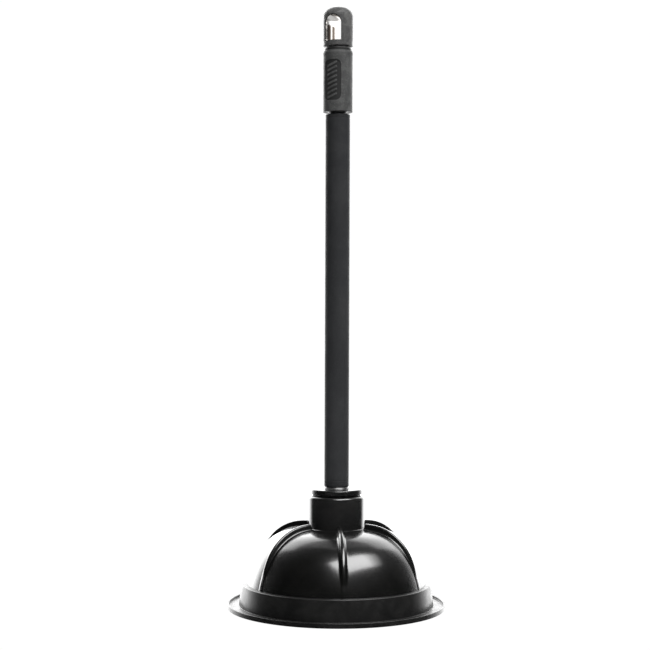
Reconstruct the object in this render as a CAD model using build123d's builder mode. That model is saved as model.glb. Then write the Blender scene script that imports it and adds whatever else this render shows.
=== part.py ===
"""Sink plunger: a ribbed rubber cup on a hard neck socket, with a screw-in tubular handle and a hanging eye.

Millimetres. The origin is the centre of the cup's sealing rim, +Z runs up the handle, and the hanging slot
looks along Y.
"""
import os

from build123d import *

# ---------------------------------------------------------------- driving dimensions
# rubber cup
cup_radius = 80.0
flange_thickness = 2.0
flange_root_height = 2.7
bead_height = 3.6
bead_width = 1.5
bead_slope = 0.3
band_base_radius = 71.3
band_top_radius = 69.6
band_height = 18.0
crown_height = 58.6
wall = 3.0
mouth_radius = 66.5
mouth_inner_radius = 64.6
mouth_step_height = 3.0
crown_hole_radius = 12.5
flange_edge_break = 0.5
band_edge_break = 1.0
dome_points = [
    (66.0, band_height),
    (62.9, 28.8),
    (57.0, 41.0),
    (46.0, 52.2),
    (34.0, 57.4),
    (22.0, crown_height),
]
dome_foot_tangent = (-0.2, 1)
crown_tangent = (-1, 0)
inner_dome_stations = (0.2, 0.45, 0.7, 0.9)
inner_crown_tangent = (1, 0)
inner_foot_tangent = (0.1, -1)

# ribs on the dome
rib_count = 6
rib_start_angle = 30.0
rib_width = 3.6
rib_inner_radius = 22.4
rib_rise = 4.3
rib_length = 0.86
rib_fade = 2.6
ridge_height = 0.3
ridge_begins = 0.5
ridge_full = 0.8
rib_root_depth = 1.5
rib_crest_stations = (0.25, 0.45, 0.6, 0.75, 0.88)
rib_root_stations = (1, 0.8, 0.6, 0.4, 0.2)
rib_top_tangent = (1, -0.06)
rib_end_tangent = (0.2, -1)

# neck socket and its clamp
neck_radius = 21.0
neck_top = 82.7
neck_top_round = 2.2
neck_foot_radius = 21.25
neck_foot_height = 0.35
neck_foot_step = 0.15
spigot_radius = 12.2
plate_radius = 22.0
plate_thickness = 2.5
plate_round = 0.8
plate_hole_radius = 3.2
screw_radius = 3.0
screw_head_radius = 6.0
screw_head_height = 3.2
screw_head_round = 1.2
screw_slot = (6.4, 1.2)
screw_slot_depth = 1.8
screw_tip_chamfer = 0.7
screw_tip_gap = 1.0
pilot_depth = 8.4

# screw thread between handle and neck
pitch = 3.5
thread_core_radius = 5.5
thread_crest_radius = 7.0
thread_root_width = 2.2
thread_crest_width = 1.0
thread_gap = 0.3
socket_floor = 66.5
socket_turns = 5.25
shank_turns = 3
bore_gap = 0.35
thread_sink = 0.4
shank_thread_sink = 0.3
tip_length = 1.8
tip_chamfer = 0.8

# washers and handle
seal_top = 84.0
seal_radius = 17.5
disc_top = 87.9
disc_radius = 19.3
shoulder_radius = 7.0
disc_top_round = 1.3
disc_bottom_round = 0.4
shoulder_drop = 0.4
running_gap = 0.08
boss_foot_radius = 9.2
boss_radius = 8.6
boss_round = 0.4
tube_bottom = 89.3
tube_top = 362.9
steel_outer_radius = 8.2
steel_wall = 0.6
skin_radius = 9.0
skin_round = 0.3
nesting_gap = 0.05
plug_depth = 25.0
plug_chamfer = 1.0
plug_hollow_radius = 4.0
plug_floor = 2.0

# grip
grip_bottom = 364.7
grip_shoulder = 409.9
grip_top = 410.9
grip_radius = 10.8
grip_lip = 0.2
grip_lip_bottom = 406.3
grip_lip_foot = 407.5
grip_lip_top = 408.3
grip_edge_break = 0.3
grip_neck_radius = 9.9
core_radius = 8.0
gap_ring_radius = 6.3
panel_width = 13.7
panel_bottom = 372.5
panel_top = 402.3
panel_depth = 0.5
panel_corner = 4.0
grip_bar_count = 8
grip_bar_size = (8.4, 1.3)
grip_bar_rise = 0.35
grip_bar_slant = 22.0

# hanging eye and its pivot
washer_top = 412.6
washer_radius = 9.7
washer_round = 0.3
eye_bottom = 412.9
eye_top = 441.7
eye_radius = 11.2
eye_foot_radius = 10.95
eye_foot_top = 415.5
eye_edge_break = 0.3
eye_taper = 3.0
eye_dome_radius = 7.0
slot_width = 13.1
slot_floor = 416.4
slot_top = 435.5
liner_wall = 0.6
pivot_radius = 2.5
pivot_head_radius = 5.0
pivot_head_bottom = 414.4
pivot_head_top = 416.0
pivot_head_round = 0.6
pivot_head_gap = 0.4
pivot_slot = (6.5, 1.2)
pivot_slot_depth = 0.8
pivot_depth = 15.0
pivot_tip_gap = 1.0
liner_end_inset = 0.4

PARTS = "parts"
os.makedirs(PARTS, exist_ok=True)


def save(part, label):
    """Labels a finished piece and writes its STEP file."""
    part.label = label
    export_step(part, f"{PARTS}/{label}.step")


# ---------------------------------------------------------------- rubber cup
dome_curve = Spline(*[Vector(r, 0, z) for r, z in dome_points],
                    tangents=[Vector(r, 0, z) for r, z in (dome_foot_tangent, crown_tangent)])
ceiling = crown_height - wall


def off_dome(fraction, distance):
    """Point (r, z) at a distance outside the dome, at a fraction of the way down from its crown."""
    point = dome_curve @ (1 - fraction)
    along = dome_curve % (1 - fraction)
    return (point.X + along.Z * distance, point.Z - along.X * distance)


def rib_height(fraction):
    """A rib's height over the dome: the rib fades out near its foot, and the low ridge under it runs on."""
    rib = rib_rise * max(0, 1 - (fraction / rib_length) ** rib_fade)
    along = min(1, max(0, (fraction - ridge_begins) / (ridge_full - ridge_begins)))
    return rib + ridge_height * along ** 2 * (3 - 2 * along)


inner_points = [off_dome(fraction, -wall) for fraction in inner_dome_stations]
mouth_step = (mouth_inner_radius, band_height / 2)

with BuildPart() as rubber_cup:
    with BuildSketch(Plane.XZ) as cup_section:
        with BuildLine():
            crown_edge = (crown_hole_radius, crown_height)
            crown_start = dome_points[-1]
            Polyline((mouth_radius, 0), (cup_radius, 0),
                     (cup_radius, bead_height - flange_edge_break),
                     (cup_radius - flange_edge_break, bead_height),
                     (cup_radius - bead_width, bead_height),
                     (cup_radius - bead_width - bead_slope, flange_thickness),
                     (band_base_radius, flange_root_height),
                     (band_top_radius, band_height - band_edge_break),
                     (band_top_radius - band_edge_break, band_height), dome_points[0])
            Spline(*dome_points, tangents=[dome_foot_tangent, crown_tangent])
            Polyline(crown_start, crown_edge, (crown_hole_radius, ceiling), (crown_start[0], ceiling))
            Spline((crown_start[0], ceiling), *inner_points, mouth_step,
                   tangents=[inner_crown_tangent, inner_foot_tangent])
            Polyline(mouth_step, (mouth_radius, mouth_step_height), (mouth_radius, 0))
        make_face()
    revolve(axis=Axis.Z)

    rib_start = (rib_inner_radius, crown_height + rib_rise)
    crest = [off_dome(fraction, rib_height(fraction)) for fraction in rib_crest_stations]
    rib_end = (dome_points[0][0] + ridge_height, band_height)
    root = [off_dome(fraction, -rib_root_depth) for fraction in rib_root_stations]
    rib_foot = (rib_inner_radius, crown_height - rib_root_depth)
    for index in range(rib_count):
        turn = rib_start_angle + index * 360 / rib_count - 90
        with BuildSketch(Plane.XZ.rotated((0, 0, turn))):
            with BuildLine():
                Spline(rib_start, *crest, rib_end, tangents=[rib_top_tangent, rib_end_tangent])
                Polyline(rib_end, *root, rib_foot, rib_start)
            make_face()
        extrude(amount=rib_width / 2, both=True)

# ---------------------------------------------------------------- neck socket
socket_bore_radius = thread_core_radius + bore_gap
groove_radius = thread_crest_radius + thread_gap
flank_slope = (thread_root_width - thread_crest_width) / (thread_crest_radius - thread_core_radius)


def tooth_width(radius):
    """Axial width of the handle's thread at a radius."""
    return thread_crest_width + (thread_crest_radius - radius) * flank_slope


def thread_ridge(inner, outer, extra, start, turns):
    """One helical ridge round Z from height start: a trapezoid between two radii, over some turns."""
    inner_half = tooth_width(inner) / 2 + extra
    outer_half = tooth_width(outer) / 2 + extra
    depth = outer - inner
    with BuildPart() as ridge:
        with BuildLine() as route:
            Helix(pitch, pitch * turns, inner, center=(0, 0, start))
        with BuildSketch(Plane(origin=route.line @ 0, x_dir=(1, 0, 0), z_dir=route.line % 0)):
            with BuildLine():
                Polyline((0, -inner_half), (depth, -outer_half),
                         (depth, outer_half), (0, inner_half), close=True)
            make_face()
        sweep(path=route.line, is_frenet=True)
    return ridge.part


groove_cut = thread_ridge(socket_bore_radius - thread_sink, groove_radius, thread_gap,
                          socket_floor, socket_turns)

with BuildPart() as neck_socket:
    with BuildSketch(Plane.XZ):
        with BuildLine():
            Polyline((0, ceiling), (spigot_radius, ceiling), (spigot_radius, crown_height),
                     (neck_foot_radius, crown_height), (neck_foot_radius, crown_height + neck_foot_step),
                     (neck_radius, crown_height + neck_foot_height), (neck_radius, neck_top),
                     (0, neck_top), close=True)
        make_face()
    revolve(axis=Axis.Z)
    fillet(neck_socket.edges().filter_by(GeomType.CIRCLE).group_by(Axis.Z)[-1], neck_top_round)
    with Locations((0, 0, neck_top)):
        Hole(socket_bore_radius, depth=neck_top - socket_floor)
    add(groove_cut, mode=Mode.SUBTRACT)
    with BuildSketch(Plane.XY.offset(ceiling)):
        Circle(screw_radius)
    extrude(amount=pilot_depth, mode=Mode.SUBTRACT)

# ---------------------------------------------------------------- clamp under the crown
with BuildPart() as clamp_plate:
    with BuildSketch(Plane.XY.offset(ceiling - plate_thickness)):
        Circle(plate_radius)
        Circle(plate_hole_radius, mode=Mode.SUBTRACT)
    extrude(amount=plate_thickness)
    fillet(clamp_plate.faces().sort_by(Axis.Z)[0].outer_wire().edges(), plate_round)

with BuildPart() as clamp_screw:
    head_base = ceiling - plate_thickness - screw_head_height
    with BuildSketch(Plane.XY.offset(head_base)):
        Circle(screw_head_radius)
    extrude(amount=screw_head_height)
    fillet(clamp_screw.faces().sort_by(Axis.Z)[0].edges(), screw_head_round)
    with BuildSketch(Plane.XY.offset(head_base)):
        Rectangle(*screw_slot)
        Rectangle(*screw_slot[::-1])
    extrude(amount=screw_slot_depth, mode=Mode.SUBTRACT)
    with BuildSketch(Plane.XY.offset(ceiling - plate_thickness)):
        Circle(screw_radius - nesting_gap)
    extrude(amount=plate_thickness + pilot_depth - screw_tip_gap)
    chamfer(clamp_screw.faces().sort_by(Axis.Z)[-1].edges(), screw_tip_chamfer)

# ---------------------------------------------------------------- washers on the neck
with BuildPart() as seal_washer:
    with BuildSketch(Plane.XY.offset(neck_top)):
        Circle(seal_radius)
        Circle(groove_radius, mode=Mode.SUBTRACT)
    extrude(amount=seal_top - neck_top)

with BuildPart() as clamp_disc:
    with BuildSketch(Plane.XY.offset(seal_top)):
        Circle(disc_radius)
        Circle(shoulder_radius + running_gap, mode=Mode.SUBTRACT)
    extrude(amount=disc_top - seal_top)
    fillet(clamp_disc.faces().sort_by(Axis.Z)[-1].outer_wire().edges(), disc_top_round)
    fillet(clamp_disc.faces().sort_by(Axis.Z)[0].outer_wire().edges(), disc_bottom_round)

# ---------------------------------------------------------------- threaded lower plug
spigot_fit_radius = steel_outer_radius - steel_wall - nesting_gap
shank_start = socket_floor + pitch
shank_tip = shank_start - tip_length
shank_ridge = thread_ridge(thread_core_radius - shank_thread_sink, thread_crest_radius, 0,
                           shank_start, shank_turns)

with BuildPart() as lower_plug:
    with BuildSketch(Plane.XZ):
        with BuildLine():
            plug_top = tube_bottom + plug_depth
            boss_top = tube_bottom - boss_round
            Polyline((0, shank_tip), (thread_core_radius - tip_chamfer, shank_tip),
                     (thread_core_radius, shank_tip + tip_chamfer), (thread_core_radius, neck_top),
                     (shoulder_radius, seal_top - shoulder_drop), (shoulder_radius, disc_top),
                     (boss_foot_radius, disc_top), (boss_radius, boss_top))
            TangentArc((boss_radius, boss_top), (boss_radius - boss_round, tube_bottom),
                       tangent=(boss_radius - boss_foot_radius, boss_top - disc_top))
            Polyline((boss_radius - boss_round, tube_bottom), (spigot_fit_radius, tube_bottom),
                     (spigot_fit_radius, plug_top - plug_chamfer),
                     (spigot_fit_radius - plug_chamfer, plug_top),
                     (plug_hollow_radius, plug_top), (plug_hollow_radius, tube_bottom + plug_floor),
                     (0, tube_bottom + plug_floor), (0, shank_tip))
        make_face()
    revolve(axis=Axis.Z)
    add(shank_ridge)

# ---------------------------------------------------------------- handle tube
with BuildPart() as steel_tube:
    with BuildSketch(Plane.XY.offset(tube_bottom)):
        Circle(steel_outer_radius)
        Circle(steel_outer_radius - steel_wall, mode=Mode.SUBTRACT)
    extrude(amount=tube_top - tube_bottom)

with BuildPart() as tube_skin:
    with BuildSketch(Plane.XY.offset(tube_bottom)):
        Circle(skin_radius)
        Circle(steel_outer_radius + nesting_gap, mode=Mode.SUBTRACT)
    extrude(amount=tube_top - tube_bottom)
    outer_rims = tube_skin.edges().filter_by(GeomType.CIRCLE).sort_by(SortBy.RADIUS)[-2:]
    fillet(outer_rims, skin_round)

# ---------------------------------------------------------------- upper plug and grip
with BuildPart() as upper_plug:
    with BuildSketch(Plane.XZ):
        with BuildLine():
            plug_bottom = tube_top - plug_depth
            Polyline((0, plug_bottom + plug_floor), (plug_hollow_radius, plug_bottom + plug_floor),
                     (plug_hollow_radius, plug_bottom), (spigot_fit_radius - plug_chamfer, plug_bottom),
                     (spigot_fit_radius, plug_bottom + plug_chamfer), (spigot_fit_radius, tube_top),
                     (gap_ring_radius, tube_top), (gap_ring_radius, grip_bottom), (core_radius, grip_bottom),
                     (core_radius, grip_top), (0, grip_top), close=True)
        make_face()
    revolve(axis=Axis.Z)
    with Locations((0, 0, grip_top)):
        Hole(pivot_radius, depth=pivot_depth)

panel_height = panel_top - panel_bottom
bar_pitch = panel_height / (grip_bar_count + 1)
bar_crest_radius = grip_radius - panel_depth + grip_bar_rise
bar_root_radius = core_radius + 1

with BuildPart() as panel_cut:
    with BuildSketch(Plane.XZ):
        with Locations((0, panel_bottom + panel_height / 2)):
            RectangleRounded(panel_width, panel_height, panel_corner)
    extrude(amount=2 * grip_radius)
    with BuildSketch(Plane.XY.offset(panel_bottom)):
        Circle(grip_radius - panel_depth)
    extrude(amount=panel_height, mode=Mode.SUBTRACT)

with BuildPart() as grip_bars:
    with BuildSketch(Plane.XZ):
        with Locations(*[(0, panel_bottom + bar_pitch * (i + 1)) for i in range(grip_bar_count)]):
            SlotOverall(*grip_bar_size, rotation=grip_bar_slant)
    extrude(amount=grip_radius)
    with BuildSketch(Plane.XY.offset(panel_bottom)):
        Circle(2 * grip_radius)
        Circle(bar_crest_radius, mode=Mode.SUBTRACT)
    extrude(amount=panel_height, mode=Mode.SUBTRACT)
    with BuildSketch(Plane.XY.offset(panel_bottom)):
        Circle(bar_root_radius)
    extrude(amount=panel_height, mode=Mode.SUBTRACT)

with BuildPart() as grip_sleeve:
    with BuildSketch(Plane.XZ):
        with BuildLine():
            lip_radius = grip_radius + grip_lip
            bore_radius = core_radius + nesting_gap
            Polyline((bore_radius, grip_bottom), (grip_radius - grip_edge_break, grip_bottom),
                     (grip_radius, grip_bottom + grip_edge_break), (grip_radius, grip_lip_bottom),
                     (lip_radius, grip_lip_foot), (lip_radius, grip_lip_top))
            TangentArc((lip_radius, grip_lip_top), (grip_neck_radius, grip_shoulder), tangent=(0, 1))
            Polyline((grip_neck_radius, grip_shoulder), (grip_neck_radius, grip_top), (bore_radius, grip_top),
                     (bore_radius, grip_bottom))
        make_face()
    revolve(axis=Axis.Z)
    add(panel_cut.part, mode=Mode.SUBTRACT)
    add(grip_bars.part)

# ---------------------------------------------------------------- swivel and hanging eye
with BuildPart() as swivel_washer:
    with BuildSketch(Plane.XY.offset(grip_top)):
        Circle(washer_radius)
        Circle(pivot_radius + running_gap, mode=Mode.SUBTRACT)
    extrude(amount=washer_top - grip_top)
    fillet(swivel_washer.faces().sort_by(Axis.Z)[-1].outer_wire().edges(), washer_round)

with BuildPart() as eye_pivot:
    shank_bottom = grip_top - pivot_depth + pivot_tip_gap
    with BuildSketch(Plane.XY.offset(shank_bottom)):
        Circle(pivot_radius - nesting_gap)
    extrude(amount=pivot_head_bottom - shank_bottom)
    with BuildSketch(Plane.XY.offset(pivot_head_bottom)):
        Circle(pivot_head_radius)
    extrude(amount=pivot_head_top - pivot_head_bottom)
    fillet(eye_pivot.faces().sort_by(Axis.Z)[-1].edges(), pivot_head_round)
    with BuildSketch(Plane.XY.offset(pivot_head_top)):
        Rectangle(*pivot_slot)
    extrude(amount=-pivot_slot_depth, mode=Mode.SUBTRACT)


def slot_sketch(inset):
    """Outline of the hanging slot on the XZ plane, drawn in by an inset: flat floor, round top."""
    half = slot_width / 2 - inset
    floor = slot_floor + inset
    spring = slot_top - slot_width / 2
    with BuildSketch(Plane.XZ) as outline:
        with BuildLine():
            Polyline((-half, spring), (-half, floor), (half, floor), (half, spring))
            TangentArc((half, spring), (-half, spring), tangent=(0, 1))
        make_face()
    return outline.sketch


with BuildPart() as hanging_eye:
    with BuildSketch(Plane.XZ):
        with BuildLine():
            Polyline((0, eye_bottom), (eye_foot_radius - eye_edge_break, eye_bottom),
                     (eye_foot_radius, eye_bottom + eye_edge_break), (eye_foot_radius, eye_foot_top),
                     (eye_radius, eye_foot_top + eye_taper),
                     (eye_radius, eye_top - eye_dome_radius))
            TangentArc((eye_radius, eye_top - eye_dome_radius), (eye_radius - eye_dome_radius, eye_top),
                       tangent=(0, 1))
            Polyline((eye_radius - eye_dome_radius, eye_top), (0, eye_top), (0, eye_bottom))
        make_face()
    revolve(axis=Axis.Z)
    extrude(slot_sketch(0), amount=2 * eye_radius, dir=(0, 1, 0), both=True, mode=Mode.SUBTRACT)
    with BuildSketch(Plane.XY.offset(eye_bottom)):
        Circle(pivot_radius - nesting_gap + running_gap)
    extrude(amount=eye_radius / 2, mode=Mode.SUBTRACT)
    with BuildSketch(Plane.XY.offset(pivot_head_bottom - pivot_head_gap)):
        Circle(pivot_head_radius + pivot_head_gap)
    extrude(amount=slot_floor - pivot_head_bottom + 2 * pivot_head_gap, mode=Mode.SUBTRACT)

with BuildPart() as eye_liner:
    extrude(slot_sketch(nesting_gap), amount=2 * eye_radius, dir=(0, 1, 0), both=True)
    inner_slot = slot_sketch(nesting_gap + liner_wall)
    extrude(inner_slot, amount=2 * eye_radius, dir=(0, 1, 0), both=True, mode=Mode.SUBTRACT)
    with BuildSketch(Plane.XY.offset(eye_bottom)):
        Circle(3 * eye_radius)
        Circle(eye_radius - liner_end_inset, mode=Mode.SUBTRACT)
    extrude(amount=eye_top - eye_bottom, mode=Mode.SUBTRACT)

# ---------------------------------------------------------------- files
pieces = {
    "rubber_cup": rubber_cup,
    "neck_socket": neck_socket,
    "clamp_plate": clamp_plate,
    "clamp_screw": clamp_screw,
    "seal_washer": seal_washer,
    "clamp_disc": clamp_disc,
    "lower_plug": lower_plug,
    "steel_tube": steel_tube,
    "tube_skin": tube_skin,
    "upper_plug": upper_plug,
    "grip_sleeve": grip_sleeve,
    "swivel_washer": swivel_washer,
    "eye_pivot": eye_pivot,
    "hanging_eye": hanging_eye,
    "eye_liner": eye_liner,
}
for label, piece in pieces.items():
    save(piece.part, label)
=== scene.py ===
"""Looks of the sink plunger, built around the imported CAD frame. Metres, +Z up the handle."""
import math

import bmesh
import bpy
import numpy as np
from mathutils import Matrix, Quaternion, Vector


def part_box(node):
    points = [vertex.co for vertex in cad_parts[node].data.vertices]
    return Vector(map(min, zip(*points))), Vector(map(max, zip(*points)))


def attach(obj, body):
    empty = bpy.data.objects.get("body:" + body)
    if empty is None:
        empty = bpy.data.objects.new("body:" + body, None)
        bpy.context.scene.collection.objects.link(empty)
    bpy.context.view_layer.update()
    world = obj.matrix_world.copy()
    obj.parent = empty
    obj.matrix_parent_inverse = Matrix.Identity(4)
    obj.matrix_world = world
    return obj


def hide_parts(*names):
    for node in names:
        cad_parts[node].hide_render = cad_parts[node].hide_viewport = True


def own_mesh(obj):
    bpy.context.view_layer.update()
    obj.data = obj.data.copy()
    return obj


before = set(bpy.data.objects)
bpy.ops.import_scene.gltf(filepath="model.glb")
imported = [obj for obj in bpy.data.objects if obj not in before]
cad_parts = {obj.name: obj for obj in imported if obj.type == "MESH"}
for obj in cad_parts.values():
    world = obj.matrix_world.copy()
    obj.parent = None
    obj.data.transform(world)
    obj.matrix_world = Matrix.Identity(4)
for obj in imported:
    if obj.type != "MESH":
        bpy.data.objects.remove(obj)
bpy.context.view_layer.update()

MM = 0.001


# ---------------------------------------------------------------- curves and meshes
SUPPORT_REACH = 0.12  # how far past an arc its support points lie, as a share of its radius


def spline(points, start, end, count):
    """A curve through points with continuous curvature and the two end directions, as count even samples."""
    points = np.array(points, float)
    span = np.linalg.norm(np.diff(points, axis=0), axis=1)
    knots = np.concatenate([[0], np.cumsum(span)])
    last = len(points) - 1
    system = np.eye(last + 1)
    right = np.zeros_like(points)
    right[0], right[last] = start, end
    for i in range(1, last):
        before, after = span[i - 1], span[i]
        system[i, i - 1:i + 2] = after, 2 * (before + after), before
        rise_before = (points[i] - points[i - 1]) * after / before
        rise_after = (points[i + 1] - points[i]) * before / after
        right[i] = 3 * (rise_before + rise_after)
    slope = np.linalg.solve(system, right)
    at = np.linspace(0, knots[-1], count)
    k = np.clip(np.searchsorted(knots, at, side="right") - 1, 0, last - 1)
    u = ((at - knots[k]) / span[k])[:, None]
    width = span[k][:, None]
    return ((2 * u ** 3 - 3 * u ** 2 + 1) * points[k] + (u ** 3 - 2 * u ** 2 + u) * width * slope[k]
            + (3 * u ** 2 - 2 * u ** 3) * points[k + 1] + (u ** 3 - u ** 2) * width * slope[k + 1])


def rounded(corners, steps=7):
    """A closed outline from (r, z, radius) corners: arcs between support points, or sharp at radius 0."""
    count = len(corners)
    outline = []
    for i, (r, z, radius) in enumerate(corners):
        corner = np.array([r, z])
        if radius == 0:
            outline.append(corner)
            continue
        before = np.array(corners[i - 1][:2]) - corner
        after = np.array(corners[(i + 1) % count][:2]) - corner
        before /= np.linalg.norm(before)
        after /= np.linalg.norm(after)
        half = math.acos(np.clip(before @ after, -1, 1)) / 2
        reach = radius / math.tan(half)
        centre = corner + (before + after) / np.linalg.norm(before + after) * radius / math.sin(half)
        first, final = corner + before * reach, corner + after * reach
        outline.append(first + before * radius * SUPPORT_REACH)
        a, b = first - centre, final - centre
        sweep = math.pi - 2 * half
        for k in range(steps + 1):
            share = k / steps
            turn = (math.sin((1 - share) * sweep) * a + math.sin(share * sweep) * b) / math.sin(sweep)
            outline.append(centre + turn)
        outline.append(final + after * radius * SUPPORT_REACH)
    return outline


def mesh_object(name, vertices, faces):
    """A smooth-shaded object with its faces turned outwards."""
    mesh = bpy.data.meshes.new(name)
    mesh.from_pydata([tuple(v) for v in vertices], [], faces)
    work = bmesh.new()
    work.from_mesh(mesh)
    bmesh.ops.recalc_face_normals(work, faces=work.faces)
    work.to_mesh(mesh)
    work.free()
    mesh.shade_smooth()
    made = bpy.data.objects.new(name, mesh)
    bpy.context.scene.collection.objects.link(made)
    return made


def ring_faces(rings, columns):
    """Quads between rings of columns points, the last ring joined to the first."""
    faces = []
    for i in range(rings):
        low, high = i * columns, (i + 1) % rings * columns
        for j in range(columns):
            k = (j + 1) % columns
            faces.append((low + j, low + k, high + k, high + j))
    return faces


def lathe(name, outline, segments):
    """A closed outline of (r, z) points turned round Z."""
    angles = np.linspace(0, 2 * math.pi, segments, endpoint=False)
    vertices = [(r * math.sin(a), -r * math.cos(a), z) for r, z in outline for a in angles]
    return mesh_object(name, vertices, ring_faces(len(outline), segments))


def finish_piece(piece, material, slot, body, *nodes):
    """Gives a new piece its material and body, and hides the CAD nodes it stands for. slot is not used."""
    piece.data.materials.clear()
    piece.data.materials.append(material)
    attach(piece, body)
    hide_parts(*nodes)
    return piece


# ---------------------------------------------------------------- material building
PLASTIC_IOR = 1.5
CLOUD_LEVELS = (0.38, 0.68)  # noise levels between which the colour goes from dark to light
SPECK_LEVELS = (0.55, 0.75)
SPECK_SCALE = 0.6  # of the grain's
SPECK_SHARE = 0.35
SPECK_LIFT = 1.9  # times the light colour
# painted shade: inside a recess the colour is the dark colour times this
SUNK_SHADE = 0.5  # of the dark colour, in a recess
GLOSS_SCALE = 2.2  # of the clouds'
GLOSS_LEVELS = (0.3, 0.7)
RIPPLE_SCALE = 70
STREAK_SCALE = 700
STREAK_LENGTH = 14  # times a streak's width
STREAK_RADIUS = 0.06  # of the cylinder round Z on which the streaks' noise is read
DRAWN_SCALE = 2500
DRAWN_STRETCH = (1, 1, 0.03)
DRAWN_DEPTH = 0.01 * MM
DRAWN_LEVELS = (0.1, 0.45)
WORN_SCALE = 180
WORN_LEVELS = (0.35, 0.7)
WORN_SHADE = 0.82


class Surface:
    """A Principled material whose textures follow the piece's own coordinates, in metres."""

    def __init__(self, name, **values):
        self.material = bpy.data.materials.new(name)
        self.material.use_nodes = True
        self.tree = self.material.node_tree
        self.tree.nodes.clear()
        self.shader = self.node("ShaderNodeBsdfPrincipled")
        output = self.node("ShaderNodeOutputMaterial")
        self.link(self.shader.outputs["BSDF"], output.inputs["Surface"])
        self.place = self.node("ShaderNodeTexCoord").outputs["Object"]
        for key, value in values.items():
            self.shader.inputs[key.replace("_", " ")].default_value = value

    def node(self, kind, **settings):
        made = self.tree.nodes.new(kind)
        for key, value in settings.items():
            setattr(made, key, value)
        return made

    def link(self, source, target):
        self.tree.links.new(source, target)

    def noise(self, scale, detail=3.0, roughness=0.55, stretch=(1, 1, 1), distortion=0.0):
        """Noise from 0 to 1 with features of about 1 / scale metres; stretch multiplies the coordinates."""
        mapping = self.node("ShaderNodeMapping")
        self.link(self.place, mapping.inputs["Vector"])
        mapping.inputs["Scale"].default_value = stretch
        made = self.node("ShaderNodeTexNoise")
        self.link(mapping.outputs["Vector"], made.inputs["Vector"])
        made.inputs["Scale"].default_value = scale
        made.inputs["Detail"].default_value = detail
        made.inputs["Roughness"].default_value = roughness
        made.inputs["Distortion"].default_value = distortion
        return made.outputs["Fac"]

    def scaled_place(self, factors):
        """The piece's coordinates, each times its factor."""
        made = self.node("ShaderNodeVectorMath", operation="MULTIPLY")
        self.link(self.place, made.inputs[0])
        made.inputs[1].default_value = factors
        return made.outputs["Vector"]

    def streaks(self):
        """Noise round the Z axis whose features run up the meridians."""
        unit = self.node("ShaderNodeVectorMath", operation="NORMALIZE")
        self.link(self.scaled_place((1, 1, 0)), unit.inputs[0])
        ring = self.node("ShaderNodeVectorMath", operation="SCALE")
        self.link(unit.outputs["Vector"], ring.inputs[0])
        ring.inputs["Scale"].default_value = STREAK_RADIUS
        place = self.node("ShaderNodeVectorMath", operation="ADD")
        self.link(ring.outputs["Vector"], place.inputs[0])
        self.link(self.scaled_place((0, 0, 1 / STREAK_LENGTH)), place.inputs[1])
        made = self.node("ShaderNodeTexNoise")
        self.link(place.outputs["Vector"], made.inputs["Vector"])
        made.inputs["Scale"].default_value = STREAK_SCALE
        made.inputs["Detail"].default_value = 3
        return made.outputs["Fac"]

    def radius(self):
        """Distance from the Z axis."""
        made = self.node("ShaderNodeVectorMath", operation="LENGTH")
        self.link(self.scaled_place((1, 1, 0)), made.inputs[0])
        return made.outputs["Value"]

    def spread(self, source, low, high, to_low=0.0, to_high=1.0):
        """source from low..high carried over to to_low..to_high, clamped and eased."""
        made = self.node("ShaderNodeMapRange", interpolation_type="SMOOTHSTEP")
        self.link(source, made.inputs["Value"])
        for key, value in (("From Min", low), ("From Max", high), ("To Min", to_low), ("To Max", to_high)):
            made.inputs[key].default_value = value
        return made.outputs["Result"]

    def math(self, operation, first, second):
        """A sum, product or the like of two sockets or numbers."""
        made = self.node("ShaderNodeMath", operation=operation)
        for place, value in enumerate((first, second)):
            if isinstance(value, (int, float)):
                made.inputs[place].default_value = value
            else:
                self.link(value, made.inputs[place])
        return made.outputs["Value"]

    def colours(self, share, first, second):
        """A blend from colour first to colour second, each red, green and blue."""
        made = self.node("ShaderNodeMix", data_type="RGBA")
        self.link(share, made.inputs["Factor"])
        for socket, colour in ((made.inputs[6], first), (made.inputs[7], second)):
            if isinstance(colour, tuple):
                socket.default_value = (*colour, 1)
            else:
                self.link(colour, socket)
        return made.outputs[2]

    def bump(self, height, depth, under=None):
        """Relief of some depth in metres, laid over the relief under it."""
        made = self.node("ShaderNodeBump")
        made.inputs["Strength"].default_value = 1
        made.inputs["Distance"].default_value = depth
        self.link(height, made.inputs["Height"])
        if under is not None:
            self.link(under, made.inputs["Normal"])
        return made.outputs["Normal"]

    def use(self, **sources):
        """Wires sockets into the shader's inputs and hands back the material."""
        for key, source in sources.items():
            self.link(source, self.shader.inputs[key.replace("_", " ")])
        return self.material


def shaded(colour, share):
    """A colour with every channel times a share."""
    return tuple(channel * share for channel in colour)


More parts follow.
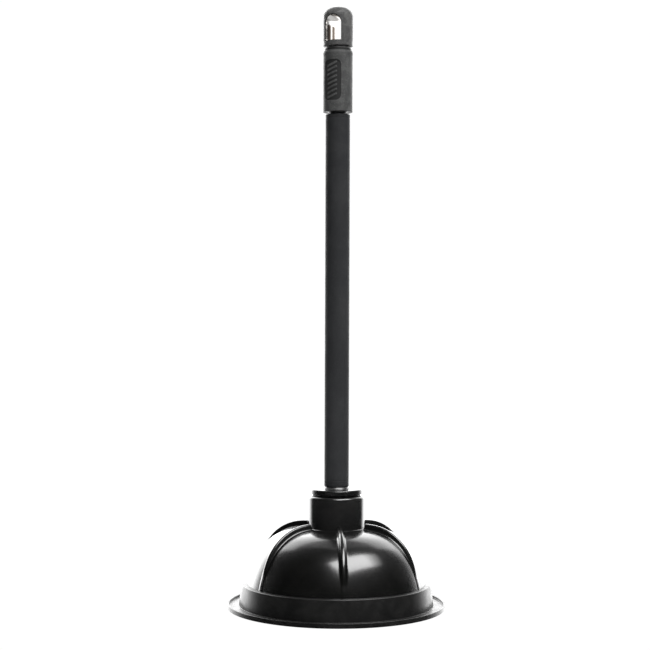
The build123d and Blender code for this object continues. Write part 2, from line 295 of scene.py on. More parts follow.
def moulded(name, dark, light, roughness, grain, grain_depth, mottle=55, ripple_depth=0, streak_depth=0,
            recess_shade=None, **values):
    """Moulded rubber or plastic: clouded colour with light specks, uneven gloss and a fine grain.

    grain and mottle are scales per metre. ripple_depth adds a slow ripple and streak_depth faint lines up
    the meridians; recess_shade is a pair of radii, and what lies inside the first gets painted shade.
    """
    made = Surface(name, IOR=PLASTIC_IOR, **values)
    clouds = made.spread(made.noise(mottle, detail=4, roughness=0.6, distortion=0.6), *CLOUD_LEVELS)
    specks = made.spread(made.noise(grain * SPECK_SCALE, detail=2), *SPECK_LEVELS)
    tint = made.colours(clouds, dark, light)
    tint = made.colours(made.math("MULTIPLY", specks, SPECK_SHARE), tint, shaded(light, SPECK_LIFT))
    # painted shade inside the recess
    if recess_shade:
        tint = made.colours(made.spread(made.radius(), *recess_shade), shaded(dark, SUNK_SHADE), tint)
    gloss = made.spread(made.noise(mottle * GLOSS_SCALE, detail=5, roughness=0.6), *GLOSS_LEVELS, *roughness)
    relief = made.bump(made.noise(grain, detail=3, roughness=0.6), grain_depth)
    if ripple_depth:
        relief = made.bump(made.noise(RIPPLE_SCALE, detail=1.5, roughness=0.4), ripple_depth, relief)
    if streak_depth:
        relief = made.bump(made.streaks(), streak_depth, relief)
    return made.use(Base_Color=tint, Roughness=gloss, Normal=relief)


def metal(name, colour, roughness):
    """Drawn or plated metal with fine streaks along Z."""
    made = Surface(name, Metallic=1.0)
    lines = made.noise(DRAWN_SCALE, detail=4, roughness=0.6, stretch=DRAWN_STRETCH)
    clouds = made.noise(WORN_SCALE)
    tint = made.colours(made.spread(clouds, *WORN_LEVELS), colour, shaded(colour, WORN_SHADE))
    gloss = made.spread(made.math("MULTIPLY", lines, clouds), *DRAWN_LEVELS, *roughness)
    return made.use(Base_Color=tint, Roughness=gloss, Normal=made.bump(lines, DRAWN_DEPTH))


# ---------------------------------------------------------------- materials
GRIP_RADIUS = 10.8 * MM
# painted shade: the recessed panel's colour darkens between these radii
PANEL_SHADOW = (GRIP_RADIUS - 0.45 * MM, GRIP_RADIUS - 0.12 * MM)  # radii over which the panel darkens

rubber = moulded(
    "cup_rubber", dark=(0.001, 0.0011, 0.001), light=(0.0024, 0.0024, 0.0022), roughness=(0.4, 0.48),
    grain=1400, grain_depth=0.01 * MM, ripple_depth=0.12 * MM, streak_depth=0.012 * MM,
    Specular_IOR_Level=0.06, Coat_Weight=0.94, Coat_Roughness=0.18)
rim_rubber = moulded(
    "cup_rubber_rim", dark=(0.004, 0.004, 0.004), light=(0.008, 0.008, 0.0078), roughness=(0.32, 0.4),
    grain=1000, grain_depth=0.02 * MM, mottle=80, streak_depth=0.02 * MM, Specular_IOR_Level=0.3)
neck_plastic = moulded(
    "neck_plastic", dark=(0.006, 0.0062, 0.0062), light=(0.0095, 0.0095, 0.0092), roughness=(0.14, 0.2),
    grain=1500, grain_depth=0.01 * MM, mottle=70)
seal_rubber = moulded(
    "seal_rubber", dark=(0.003, 0.003, 0.003), light=(0.006, 0.006, 0.006), roughness=(0.5, 0.65),
    grain=1800, grain_depth=0.03 * MM)
disc_plastic = moulded(
    "disc_plastic", dark=(0.004, 0.004, 0.004), light=(0.008, 0.008, 0.008), roughness=(0.2, 0.3),
    grain=1500, grain_depth=0.01 * MM)
plug_plastic = moulded(
    "plug_plastic", dark=(0.02, 0.02, 0.02), light=(0.03, 0.03, 0.03), roughness=(0.3, 0.42),
    grain=1500, grain_depth=0.01 * MM)
tube_coating = moulded(
    "tube_coating", dark=(0.0175, 0.018, 0.019), light=(0.022, 0.0225, 0.0235), roughness=(0.4, 0.48),
    grain=2200, grain_depth=0.01 * MM, mottle=40, Specular_IOR_Level=0.015)
grip_plastic = moulded(
    "grip_plastic", dark=(0.037, 0.0375, 0.0375), light=(0.056, 0.0565, 0.056), roughness=(0.38, 0.5),
    grain=1300, grain_depth=0.06 * MM, mottle=160, recess_shade=PANEL_SHADOW, Specular_IOR_Level=0.03)
# Painted light: the upper plug's black plastic is coloured light grey so that the shaded gap between tube and
# grip shows grey.
stem_plastic = moulded(
    "stem_plastic", dark=(0.17, 0.172, 0.175), light=(0.23, 0.23, 0.23), roughness=(0.35, 0.45),
    grain=1500, grain_depth=0.01 * MM)
washer_plastic = moulded(
    "washer_plastic", dark=(0.02, 0.02, 0.02), light=(0.035, 0.035, 0.035), roughness=(0.4, 0.5),
    grain=1500, grain_depth=0.02 * MM)
eye_plastic = moulded(
    "eye_plastic", dark=(0.042, 0.042, 0.0425), light=(0.07, 0.07, 0.069), roughness=(0.26, 0.36),
    grain=1300, grain_depth=0.05 * MM, mottle=160, Specular_IOR_Level=0.05)
zinc_steel = metal("zinc_steel", colour=(0.62, 0.63, 0.64), roughness=(0.25, 0.45))
tube_steel = metal("tube_steel", colour=(0.55, 0.55, 0.56), roughness=(0.3, 0.5))

liner_low, liner_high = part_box("eye_liner")
LINER_SPRING = liner_high.z - liner_high.x  # height at which the slot's arch springs from its walls
ARCH_BEGINS, ARCH_FULL = LINER_SPRING - 0.5 * MM, LINER_SPRING + 1.5 * MM
# Painted reflections: the chrome walls are coloured in dark and light sine bands up to the arch, which is
# coloured plain bright.
BAND_WAVE = {"Scale": 40, "Distortion": 0, "Phase Offset": 2.6}
BAND_LEVELS = (0.65, 1.05)
PAINTED_REFLECTION_DARK, PAINTED_REFLECTION_LIGHT, ARCH_COLOUR = (0.025, 0.02, 0.018), (0.32, 0.31, 0.3), (0.85, 0.84, 0.83)
FRAY_SCALE, FRAY_SHARE = 600, 0.3
PLATE_SCALE = 900
PLATE_ROUGHNESS = (0.06, 0.2)
PLATE_DEPTH = 0.01 * MM


def plated_liner():
    """Bright plate whose walls carry painted reflections, brown-grey dark and light bands, up the slot as far
    as the arch.
    """
    made = Surface("liner_chrome", Metallic=1.0, Specular_Tint=(0.6, 0.58, 0.56, 1))
    wave = made.node("ShaderNodeTexWave", bands_direction="Y", wave_profile="SIN")
    made.link(made.place, wave.inputs["Vector"])
    for key, value in BAND_WAVE.items():
        wave.inputs[key].default_value = value
    fray = made.math("MULTIPLY", made.noise(FRAY_SCALE), FRAY_SHARE)
    bands = made.spread(made.math("ADD", wave.outputs["Fac"], fray), *BAND_LEVELS)
    height = made.node("ShaderNodeSeparateXYZ")
    made.link(made.place, height.inputs["Vector"])
    arch = made.spread(height.outputs["Z"], ARCH_BEGINS, ARCH_FULL)
    # painted reflection bands on the walls, plain bright colour on the arch
    tint = made.colours(arch, made.colours(bands, PAINTED_REFLECTION_DARK, PAINTED_REFLECTION_LIGHT), ARCH_COLOUR)
    gloss = made.spread(made.noise(PLATE_SCALE), *GLOSS_LEVELS, *PLATE_ROUGHNESS)
    relief = made.bump(made.noise(PLATE_SCALE, detail=2), PLATE_DEPTH)
    return made.use(Base_Color=tint, Roughness=gloss, Normal=relief)


chrome = plated_liner()

# ---------------------------------------------------------------- cup: the ribbed dome
BAND_HEIGHT = 18.0 * MM
CROWN_HEIGHT = 58.6 * MM
WALL = 3.0 * MM
CROWN_HOLE = 12.5 * MM
CROWN_FLAT_END = 21.5 * MM
DOME_POINTS = [
    (22.0 * MM, CROWN_HEIGHT), (34.0 * MM, 57.4 * MM), (46.0 * MM, 52.2 * MM),
    (57.0 * MM, 41.0 * MM), (62.9 * MM, 28.8 * MM), (66.0 * MM, BAND_HEIGHT),
]
DOME_FOOT = (66.3 * MM, 16.4 * MM)  # the skin runs on down behind the band
CROWN_TANGENT, DOME_TANGENT = (1, 0), (0.2, -0.98)
CURVE_SAMPLES, FLAT_SAMPLES = 400, 6
RIB_COUNT = 6
RIB_START = math.radians(30)
RIB_PITCH = 2 * math.pi / RIB_COUNT
RIB_RISE = 4.3 * MM
RIB_LENGTH = 0.86  # of the way from the crown to the band
RIB_FADE = 2.6  # the power with which a rib loses its height along that length
RIDGE_HEIGHT = 0.3 * MM
RIDGE_BEGINS, RIDGE_FULL = 0.5, 0.8  # of the same way
RIB_INNER = 22.9 * MM
RIB_END_SOFTNESS = 0.4 * MM
RIB_HALF_WIDTH = 1.85 * MM
RIB_FLANK = 0.68 * MM
RIB_TOP_EDGE, RIB_FLANK_EDGE, RIB_REACH = 0.7 * MM, 3.3 * MM, 4.7 * MM
TOP_COLUMNS, FLANK_COLUMNS, FOOT_OFFSETS = 4, 17, (3.6 * MM, 3.9 * MM, 4.3 * MM, RIB_REACH)
GAP_COLUMNS = 22
END_ZONE = 2.0 * MM  # either side of the ribs' blunt ends, where the mesh is densest
CROWN_ROWS, END_ROWS, DOME_ROWS = 8, 28, 74


def dome_meridian():
    """Points, normals and lengths along the dome's outer skin, and the length at which the ribs begin."""
    flat = [(r, CROWN_HEIGHT) for r in np.linspace(CROWN_HOLE, CROWN_FLAT_END, FLAT_SAMPLES)]
    curve = np.vstack([flat, spline(DOME_POINTS, CROWN_TANGENT, DOME_TANGENT, CURVE_SAMPLES), [DOME_FOOT]])
    step = np.linalg.norm(np.diff(curve, axis=0), axis=1)
    along = np.concatenate([[0], np.cumsum(step)])
    rib_at = np.interp(RIB_INNER, curve[:, 0], along)
    stations = np.concatenate([
        np.linspace(0, rib_at - END_ZONE, CROWN_ROWS)[:-1],
        np.linspace(rib_at - END_ZONE, rib_at + END_ZONE, END_ROWS)[:-1],
        np.linspace(rib_at + END_ZONE, along[-1], DOME_ROWS),
    ])
    points = np.column_stack([np.interp(stations, along, curve[:, side]) for side in (0, 1)])
    direction = np.gradient(points, stations, axis=0)
    direction /= np.linalg.norm(direction, axis=1)[:, None]
    normals = np.column_stack([-direction[:, 1], direction[:, 0]])
    return points, normals, stations, rib_at


def rib_offsets():
    """Distances across a rib at which the mesh has a column, closest on the flanks."""
    top = np.linspace(0, RIB_TOP_EDGE, TOP_COLUMNS)[1:]
    flank = np.linspace(RIB_TOP_EDGE, RIB_FLANK_EDGE, FLANK_COLUMNS)[1:]
    one_side = np.concatenate([top, flank, FOOT_OFFSETS])
    return np.concatenate([-one_side[::-1], [0], one_side])


def rib_height(fraction):
    """Height of a rib at a fraction of the way down the dome: it fades out, and a low ridge runs on."""
    rib = RIB_RISE * max(0, 1 - (max(0, fraction) / RIB_LENGTH) ** RIB_FADE)
    along = np.clip((fraction - RIDGE_BEGINS) / (RIDGE_FULL - RIDGE_BEGINS), 0, 1)
    return rib + RIDGE_HEIGHT * along ** 2 * (3 - 2 * along)


def build_dome():
    """The closed dome shell with its ribs raised from the outer skin."""
    points, normals, stations, rib_at = dome_meridian()
    offsets = rib_offsets()
    crown_at = np.interp(DOME_POINTS[0][0], points[:, 0], stations)
    foot_at = np.interp(-BAND_HEIGHT, -points[:, 1], stations)
    outer, inner = [], []
    for (r, z), (nr, nz), at in zip(points, normals, stations):
        begun = 0.5 * (1 + math.tanh((at - rib_at) / RIB_END_SOFTNESS))
        rise = rib_height((at - crown_at) / (foot_at - crown_at)) * begun
        edge = math.asin(RIB_REACH / r)
        gap = np.linspace(edge, RIB_PITCH - edge, GAP_COLUMNS + 2)[1:-1]
        for index in range(RIB_COUNT):
            middle = RIB_START + index * RIB_PITCH
            for offset in offsets:
                height = rise * 0.5 * (1 - math.tanh((abs(offset) - RIB_HALF_WIDTH) / RIB_FLANK))
                outer.append((middle + math.asin(offset / r), r + nr * height, z + nz * height))
                inner.append((middle + math.asin(offset / r), r - nr * WALL, z - nz * WALL))
            for angle in gap:
                outer.append((middle + angle, r, z))
                inner.append((middle + angle, r - nr * WALL, z - nz * WALL))
    columns = RIB_COUNT * (len(offsets) + GAP_COLUMNS)
    rings = [outer[i:i + columns] for i in range(0, len(outer), columns)]
    rings += [inner[i:i + columns] for i in range(0, len(inner), columns)][::-1]
    vertices = [(r * math.sin(a), -r * math.cos(a), z) for ring in rings for a, r, z in ring]
    return mesh_object("cup_dome", vertices, ring_faces(len(rings), columns))


dome = finish_piece(build_dome(), rubber, "cup_rubber", "cup", "rubber_cup")
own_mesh(dome)

# ---------------------------------------------------------------- cup: the band and the sealing flange
CUP_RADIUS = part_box("rubber_cup")[1].x
MOUTH_RADIUS = 66.5 * MM
FLANGE_LEAN = 0.4 * MM  # how much less the flange's edge reaches at its foot
FLANGE_THICKNESS, FLANGE_ROOT = 2.0 * MM, 2.4 * MM  # at the bead and at the band
BEAD_HEIGHT, BEAD_WIDTH, BEAD_SLOPE = 3.6 * MM, 1.3 * MM, 0.3 * MM
BAND_FOOT, BAND_TOP = 71.6 * MM, 69.6 * MM
LIP_HEIGHT, LIP_OUTER, LIP_INNER = 18.25 * MM, 65.0 * MM, 62.7 * MM  # inside the dome's foot
THROAT, FLARE = (64.5 * MM, 9.0 * MM), (66.3 * MM, 3.0 * MM)  # points of the inner wall
RIM_SEGMENTS = 256

BEAD_INNER = CUP_RADIUS - BEAD_WIDTH
rim_outline = rounded([
    (MOUTH_RADIUS, 0, 0.5 * MM), (CUP_RADIUS - FLANGE_LEAN, 0, 0.5 * MM),
    (CUP_RADIUS, BEAD_HEIGHT, 0.35 * MM), (BEAD_INNER, BEAD_HEIGHT, 0.3 * MM),
    (BEAD_INNER - BEAD_SLOPE, FLANGE_THICKNESS, 0.2 * MM), (BAND_FOOT, FLANGE_ROOT, 0.2 * MM),
    (BAND_TOP, BAND_HEIGHT, 0.6 * MM), (LIP_OUTER, LIP_HEIGHT, 0.3 * MM), (LIP_INNER, LIP_HEIGHT, 0.3 * MM),
    (*THROAT, 4.0 * MM), (*FLARE, 2.0 * MM),
])
rim = lathe("cup_rim", rim_outline, RIM_SEGMENTS)
finish_piece(rim, rim_rubber, "cup_rubber", "cup", "rubber_cup")

# ---------------------------------------------------------------- handle tube skin with its crimp lines
skin_low, skin_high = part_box("tube_skin")
SKIN_RADIUS = skin_high.x
SKIN_BORE = 8.25 * MM
CRIMP_DEPTH = 0.22 * MM
CRIMP_HALF = 0.28 * MM
CRIMPS = (skin_low.z + 2.8 * MM, skin_low.z + 4.6 * MM, skin_high.z - 2.6 * MM)
CRIMP_ROUND, SKIN_ROUND = 0.1 * MM, 0.35 * MM
SKIN_SEGMENTS = 96


def tube_outline():
    """Outline of the skin: rounded ends and shallow crimped grooves."""
    corners = [(SKIN_BORE, skin_low.z, 0), (SKIN_RADIUS, skin_low.z, SKIN_ROUND)]
    for z in CRIMPS:
        corners += [(SKIN_RADIUS, z - CRIMP_HALF, CRIMP_ROUND), (SKIN_RADIUS - CRIMP_DEPTH, z, CRIMP_ROUND),
                    (SKIN_RADIUS, z + CRIMP_HALF, CRIMP_ROUND)]
    corners += [(SKIN_RADIUS, skin_high.z, SKIN_ROUND), (SKIN_BORE, skin_high.z, 0)]
    return rounded(corners, steps=4)


skin = lathe("handle_skin", tube_outline(), SKIN_SEGMENTS)
finish_piece(skin, tube_coating, "tube_coating", "handle", "tube_skin")

# ---------------------------------------------------------------- clamp disc
disc_low, disc_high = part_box("clamp_disc")
DISC_BORE = 7.1 * MM
DISC_SLOPE_WIDTH, DISC_SLOPE_DROP = 2.6 * MM, 0.25 * MM
DISC_SEGMENTS = 128
disc_outline = rounded([
    (DISC_BORE, disc_low.z, 0), (disc_high.x, disc_low.z, 0.4 * MM),
    (disc_high.x, disc_high.z - DISC_SLOPE_DROP, 1.2 * MM),
    (disc_high.x - DISC_SLOPE_WIDTH, disc_high.z, 0.8 * MM), (DISC_BORE, disc_high.z, 0),
])
disc = lathe("handle_disc", disc_outline, DISC_SEGMENTS)
finish_piece(disc, disc_plastic, "disc_plastic", "disc", "clamp_disc")

# ---------------------------------------------------------------- grip sleeve with its recessed panel
grip_low, grip_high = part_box("grip_sleeve")
GRIP_BORE = 8.05 * MM
GRIP_NECK = 9.9 * MM
GRIP_LIP = 0.2 * MM  # how far the lip under the shoulder stands out
GRIP_SHOULDER = GRIP_RADIUS - 0.25 * MM
LIP_FOOT, LIP_FULL, LIP_END, CAP_FOOT = 4.8 * MM, 3.2 * MM, 1.5 * MM, 1.0 * MM  # all down from the grip's top
LOWER_POINTS = 10  # points of the profile below the panel
ROW_HEIGHT = 0.22 * MM
FIRST_ROW, LAST_ROW = 0.25 * MM, 0.1 * MM  # from the profile's points below and above the panel
RELIEF_MARGIN = 0.1 * MM  # rows within this of the full radius carry the relief
PANEL_ARC = 8.2 * MM  # half the finely meshed width, along the skin
PANEL_COLUMNS, BACK_COLUMNS = 78, 66
PANEL_WIDTH, PANEL_BOTTOM, PANEL_TOP = 13.7 * MM, 372.5 * MM, 402.3 * MM
PANEL_DEPTH, PANEL_CORNER = 0.5 * MM, 4.0 * MM
PANEL_EDGE, BAR_EDGE = 0.35 * MM, 0.3 * MM
BAR_COUNT, BAR_LENGTH, BAR_THICKNESS, BAR_RISE = 8, 8.4 * MM, 1.5 * MM, 0.45 * MM
BAR_SLANT = math.radians(22)


def box_distance(x, z, half_x, half_z, corner):
    """Signed distance from (x, z) to a rounded rectangle round the origin; negative inside."""
    over = np.maximum(np.stack([np.abs(x) - half_x + corner, np.abs(z) - half_z + corner]), 0)
    inside = np.minimum(np.maximum(np.abs(x) - half_x + corner, np.abs(z) - half_z + corner), 0)
    return np.hypot(over[0], over[1]) + inside - corner


def ease(distance, width):
    """1 well inside a shape and 0 outside, over a soft edge of some width."""
    return 0.5 * (1 - np.tanh(distance / (width / 2)))


def grip_relief(x, z):
    """How far the sleeve's skin sinks at (x along the skin, z): the panel, less its slanted bars."""
    middle = (PANEL_BOTTOM + PANEL_TOP) / 2
    height = PANEL_TOP - PANEL_BOTTOM
    recess = ease(box_distance(x, z - middle, PANEL_WIDTH / 2, height / 2, PANEL_CORNER), PANEL_EDGE)
    pitch = height / (BAR_COUNT + 1)
    bars = 0
    for index in range(BAR_COUNT):
        centre = PANEL_BOTTOM + pitch * (index + 1)
        along = x * math.cos(BAR_SLANT) + (z - centre) * math.sin(BAR_SLANT)
        across = (z - centre) * math.cos(BAR_SLANT) - x * math.sin(BAR_SLANT)
        shape = box_distance(along, across, BAR_LENGTH / 2, BAR_THICKNESS / 2, BAR_THICKNESS / 2)
        bars = bars + ease(shape, BAR_EDGE)
    return recess * PANEL_DEPTH - bars * BAR_RISE


def build_grip():
    """The closed sleeve, fine where the panel is."""
    top = grip_high.z
    profile = rounded([
        (GRIP_RADIUS, grip_low.z, 0.35 * MM), (GRIP_RADIUS, top - LIP_FOOT, 3.0 * MM),
        (GRIP_RADIUS + GRIP_LIP, top - LIP_FULL, 0.8 * MM), (GRIP_SHOULDER, top - LIP_END, 0.8 * MM),
        (GRIP_NECK, top - CAP_FOOT, 0.2 * MM), (GRIP_NECK, top, 0.15 * MM),
        (GRIP_BORE, top, 0), (GRIP_BORE, grip_low.z, 0),
    ])
    lower, upper = profile[:LOWER_POINTS], profile[LOWER_POINTS:]
    fine_z = np.arange(lower[-1][1] + FIRST_ROW, upper[0][1] - LAST_ROW, ROW_HEIGHT)
    rows = lower + [np.array([GRIP_RADIUS, z]) for z in fine_z] + upper
    arc = PANEL_ARC / GRIP_RADIUS
    front = np.linspace(-arc, arc, PANEL_COLUMNS)
    back = np.linspace(arc, 2 * math.pi - arc, BACK_COLUMNS)[1:-1]
    angles = np.concatenate([front, back])
    across = np.where(angles < math.pi, angles, angles - 2 * math.pi) * GRIP_RADIUS
    vertices = []
    for r, z in rows:
        full = r > GRIP_RADIUS - RELIEF_MARGIN
        sink = grip_relief(across, np.full_like(across, z)) if full else 0 * across
        for angle, depth in zip(angles, sink):
            vertices.append(((r - depth) * math.sin(angle), -(r - depth) * math.cos(angle), z))
    return mesh_object("handle_grip", vertices, ring_faces(len(rows), len(angles)))


finish_piece(build_grip(), grip_plastic, "grip_plastic", "handle", "grip_sleeve")

# ---------------------------------------------------------------- washer under the eye
washer_low, washer_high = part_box("swivel_washer")
WASHER_BORE = 2.6 * MM
WASHER_SEGMENTS = 96
washer_outline = rounded([
    (WASHER_BORE, washer_low.z, 0), (washer_high.x, washer_low.z, 0.2 * MM),
    (washer_high.x, washer_high.z, 0.35 * MM), (WASHER_BORE, washer_high.z, 0),
])
washer = lathe("eye_washer", washer_outline, WASHER_SEGMENTS)
finish_piece(washer, washer_plastic, "washer_plastic", "handle", "swivel_washer")

# ---------------------------------------------------------------- hanging eye and its chrome liner
EYE_VOXEL = 0.24 * MM
EYE_SMOOTHING, EYE_SMOOTHING_SHARE = 6, 0.5


def build_eye():
    """The eye's CAD shape remeshed and smoothed, so that its slot and foot have moulded edges."""
    eye = bpy.data.objects.new("swivel_eye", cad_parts["hanging_eye"].data.copy())
    bpy.context.scene.collection.objects.link(eye)
    remesh = eye.modifiers.new("voxels", "REMESH")
    remesh.mode = "VOXEL"
    remesh.voxel_size = EYE_VOXEL
    smooth = eye.modifiers.new("moulded", "SMOOTH")
    smooth.factor = EYE_SMOOTHING_SHARE
    smooth.iterations = EYE_SMOOTHING
    settled = bpy.data.meshes.new_from_object(eye.evaluated_get(bpy.context.evaluated_depsgraph_get()))
    eye.modifiers.clear()
    eye.data = settled
    settled.shade_smooth()
    return eye


finish_piece(build_eye(), eye_plastic, "eye_plastic", "eye", "hanging_eye")

LINER_WALL = 0.27 * MM
LINER_FLARE = 0.55 * MM  # how much thicker the wall is halfway through the slot than at its mouths
LINER_CORNER = 0.9 * MM
LINER_RADIUS = 10.4 * MM  # of the eye's round sides, which the liner's mouths follow
CORNER_POINTS, FLOOR_POINTS, WALL_POINTS, ARCH_POINTS = 7, 9, 12, 26
LINER_RINGS = 33


def liner_path(inset):
    """Outline of the slot's liner seen along Y, inset from the slot's wall: flat floor, round top."""
    half = liner_high.x - inset
    bottom = liner_low.z + inset
    left, foot = LINER_CORNER - half, LINER_CORNER + bottom
    turn = [(left - LINER_CORNER * math.cos(a), foot - LINER_CORNER * math.sin(a))
            for a in np.linspace(0, math.pi / 2, CORNER_POINTS)]
    across = [(x, bottom) for x in np.linspace(left, -left, FLOOR_POINTS)[1:-1]]
    back = [(-x, z) for x, z in turn[::-1]]
    wall_up = [(half, z) for z in np.linspace(foot, LINER_SPRING, WALL_POINTS)[1:]]
    wall_down = [(-half, z) for z in np.linspace(LINER_SPRING, foot, WALL_POINTS)[:-1]]
    arch = [(half * math.cos(a), LINER_SPRING + half * math.sin(a))
            for a in np.linspace(0, math.pi, ARCH_POINTS)[1:-1]]
    return wall_down + turn + across + back + wall_up + arch


def build_liner():
    """A thin plated loop through the eye, its mouths slightly flared, following the eye's round sides."""
    outer_path = liner_path(0)
    depths = np.linspace(-1, 1, LINER_RINGS)
    sections = [(depth, outer_path) for depth in depths]
    sections += [(depth, liner_path(LINER_WALL + LINER_FLARE * (1 - depth ** 2))) for depth in depths[::-1]]
    vertices = [(x, depth * math.sqrt(LINER_RADIUS ** 2 - x ** 2), z)
                for depth, path in sections for x, z in path]
    return mesh_object("slot_liner", vertices, ring_faces(len(sections), len(outer_path)))


finish_piece(build_liner(), chrome, "liner_chrome", "eye", "eye_liner")

# ---------------------------------------------------------------- CAD nodes that keep their shape
kept_nodes = {
    "neck_socket": neck_plastic,
    "clamp_plate": zinc_steel,
    "clamp_screw": zinc_steel,
    "seal_washer": seal_rubber,
    "lower_plug": plug_plastic,
    "steel_tube": tube_steel,
    "upper_plug": stem_plastic,
    "eye_pivot": zinc_steel,
}
for node, material in kept_nodes.items():
    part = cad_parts[node]
    for place in part.material_slots:
        place.material = material

# ---------------------------------------------------------------- studio
CAMERA_AZIMUTH = math.radians(25)
CAMERA_DISTANCE = 1.128
CAMERA_HEIGHT = 0.214
CAMERA_LENS = 84.74
CAMERA_YAW = math.radians(0.453)
CAMERA_PITCH = math.radians(-0.3)
CAMERA_ROLL = math.radians(0.2)
LIGHT_DISTANCE = 2.0
FLOOR_RADIUS, FLOOR_DROP, FLOOR_SIDES = 0.5, 0.2 * MM, 96
PAPER_WHITE = 1.02
PANEL_FADE = (-0.12, 0.1)  # heights on the unit sky between which a panel gains its brightness
TOP_FADE, TOP_SHARE = (0.4, 0.86), 0.12  # heights between which the panels fade, and what is left of them
BELOW_FADE, BELOW_SHARE = (-0.36, -0.2), 0.15
ROOM_LEVEL = 0.03


def from_object(azimuth, elevation, distance):
    """A point round the object: azimuth from -Y towards +X, both angles in radians."""
    level = distance * math.cos(elevation)
    return Vector((level * math.sin(azimuth), -level * math.cos(azimuth), distance * math.sin(elevation)))


camera_data = bpy.data.cameras.new("camera")
camera_data.lens = CAMERA_LENS
camera = bpy.data.objects.new("camera", camera_data)
bpy.context.scene.collection.objects.link(camera)
camera.location = from_object(CAMERA_AZIMUTH, 0, CAMERA_DISTANCE) + Vector((0, 0, CAMERA_HEIGHT))
turn = Matrix.Rotation(CAMERA_AZIMUTH + CAMERA_YAW, 3, "Z")
tip = Matrix.Rotation(math.pi / 2 + CAMERA_PITCH, 3, "X")
camera.rotation_euler = (turn @ tip @ Matrix.Rotation(CAMERA_ROLL, 3, "Z")).to_euler()
bpy.context.scene.camera = camera


def softbox(name, azimuth, elevation, width, height, brightness, roll=0, shift=0):
    """A rectangular light of even brightness that faces the cup.

    azimuth counts from the camera, roll turns it on its axis, shift moves it sideways in its own plane.
    """
    data = bpy.data.lights.new(name, "AREA")
    data.shape = "RECTANGLE"
    data.size = width
    data.size_y = height
    data.energy = brightness * math.pi * width * height
    light = bpy.data.objects.new(name, data)
    place = from_object(CAMERA_AZIMUTH + math.radians(azimuth), math.radians(elevation), LIGHT_DISTANCE)
    facing = place.to_track_quat("Z", "Y") @ Quaternion((0, 0, 1), math.radians(roll))
    light.location = place + facing @ Vector((shift, 0, 0))
    light.rotation_euler = facing.to_euler()
    bpy.context.scene.collection.objects.link(light)


KEY_PLACE = {"azimuth": 31, "elevation": 56, "roll": 9}
softbox("key", **KEY_PLACE, width=1.6, height=0.94, brightness=17.0)
softbox("key_edge", **KEY_PLACE, width=0.25, height=0.9, brightness=10.0, shift=0.925)
softbox("key_fade", **KEY_PLACE, width=0.3, height=0.85, brightness=4.5, shift=1.2)
softbox("rear_left", azimuth=208, elevation=47, width=1.7, height=0.85, brightness=3.0)
softbox("rear_right", azimuth=150, elevation=47, width=1.3, height=0.8, brightness=2.2)

floor_corners = [(FLOOR_RADIUS * math.cos(a), FLOOR_RADIUS * math.sin(a), -FLOOR_DROP)
                 for a in np.linspace(0, 2 * math.pi, FLOOR_SIDES, endpoint=False)]
floor = mesh_object("floor", floor_corners, [tuple(range(FLOOR_SIDES))])
floor.visible_glossy = False


def white_to_camera(tree, output, rest, white_kind):
    """Shows plain white to the camera and the rest shader to every other ray."""
    path = tree.nodes.new("ShaderNodeLightPath")
    white = tree.nodes.new(white_kind)
    white.inputs["Color"].default_value = (1, 1, 1, 1)
    white.inputs["Strength"].default_value = PAPER_WHITE
    mix = tree.nodes.new("ShaderNodeMixShader")
    tree.links.new(path.outputs["Is Camera Ray"], mix.inputs[0])
    tree.links.new(rest.outputs[0], mix.inputs[1])
    tree.links.new(white.outputs[0], mix.inputs[2])
    tree.links.new(mix.outputs[0], output.inputs["Surface"])


floor_material = bpy.data.materials.new("floor_white")
floor_material.use_nodes = True
floor_tree = floor_material.node_tree
paper = floor_tree.nodes["Principled BSDF"]
paper.inputs["Base Color"].default_value = (0.8, 0.8, 0.8, 1)
paper.inputs["Roughness"].default_value = 0.9
white_to_camera(floor_tree, floor_tree.nodes["Material Output"], paper, "ShaderNodeEmission")
floor.data.materials.append(floor_material)

world = bpy.data.worlds.new("studio")
bpy.context.scene.world = world
world.use_nodes = True
sky = world.node_tree
room = sky.nodes["Background"]
direction = sky.nodes.new("ShaderNodeTexCoord").outputs["Generated"]


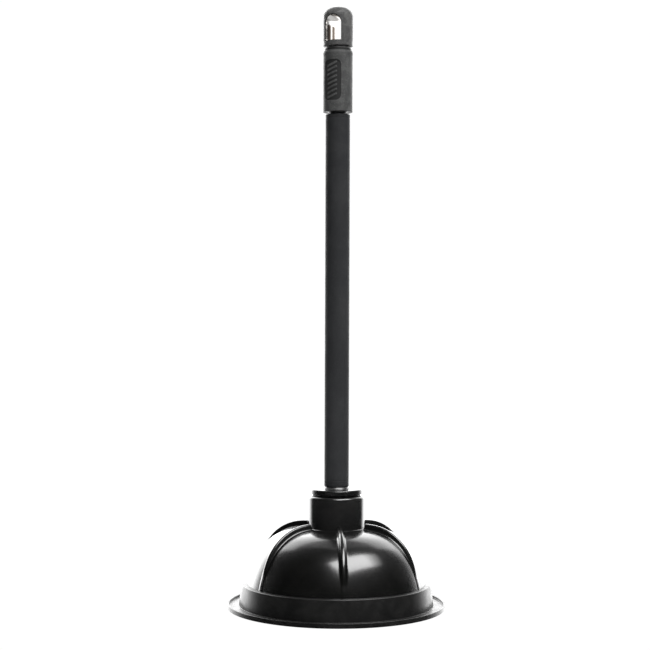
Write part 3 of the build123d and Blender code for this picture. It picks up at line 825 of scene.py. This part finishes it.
def sky_math(operation, *values):
    """A scalar or dot-product node of the sky, fed by sockets, numbers or a vector."""
    kind = "ShaderNodeVectorMath" if operation == "DOT_PRODUCT" else "ShaderNodeMath"
    made = sky.nodes.new(kind)
    made.operation = operation
    for place, value in enumerate(values):
        if isinstance(value, bpy.types.NodeSocket):
            sky.links.new(value, made.inputs[place])
        else:
            made.inputs[place].default_value = value
    return made.outputs["Value"]


def sky_ramp(source, low, high, to_low, to_high):
    """source from low..high carried over to to_low..to_high, eased."""
    made = sky.nodes.new("ShaderNodeMapRange")
    made.interpolation_type = "SMOOTHSTEP"
    sky.links.new(source, made.inputs["Value"])
    for key, value in (("From Min", low), ("From Max", high), ("To Min", to_low), ("To Max", to_high)):
        made.inputs[key].default_value = value
    return made.outputs["Result"]


away = sky_math("DOT_PRODUCT", direction, -from_object(CAMERA_AZIMUTH, 0, 1))
right = sky_math("DOT_PRODUCT", direction, from_object(CAMERA_AZIMUTH + math.pi / 2, 0, 1))
up = sky_math("DOT_PRODUCT", direction, Vector((0, 0, 1)))
bearing = sky_math("ARCTAN2", right, away)


def panel(edges, low, high):
    """A soft-edged upright panel of the sky, as bright as low at its foot and high above it.

    edges are the bearings in degrees where it begins, is full, starts to fade and ends.
    """
    begins, full, fades, ends = [math.radians(edge) for edge in edges]
    across = sky_math("MULTIPLY", sky_ramp(bearing, begins, full, 0, 1), sky_ramp(bearing, fades, ends, 1, 0))
    return sky_math("MULTIPLY", across, sky_ramp(up, *PANEL_FADE, low, high))


left_panel = panel((-66, -46, -20, -4), low=4.6, high=7.5)
middle_panel = panel((-20, -4, 4, 20), low=3.5, high=5.0)
right_panel = panel((4, 20, 42, 64), low=4.2, high=5.5)
panels = sky_math("ADD", sky_math("ADD", left_panel, right_panel), middle_panel)
glow = sky_math("MULTIPLY", panels, sky_ramp(up, *TOP_FADE, 1, TOP_SHARE))
glow = sky_math("MULTIPLY", glow, sky_ramp(up, *BELOW_FADE, BELOW_SHARE, 1))
sky.links.new(sky_math("ADD", glow, ROOM_LEVEL), room.inputs["Strength"])
room.inputs["Color"].default_value = (1, 1, 1, 1)
white_to_camera(sky, sky.nodes["World Output"], room, "ShaderNodeBackground")

bpy.context.scene.view_settings.view_transform = "Standard"
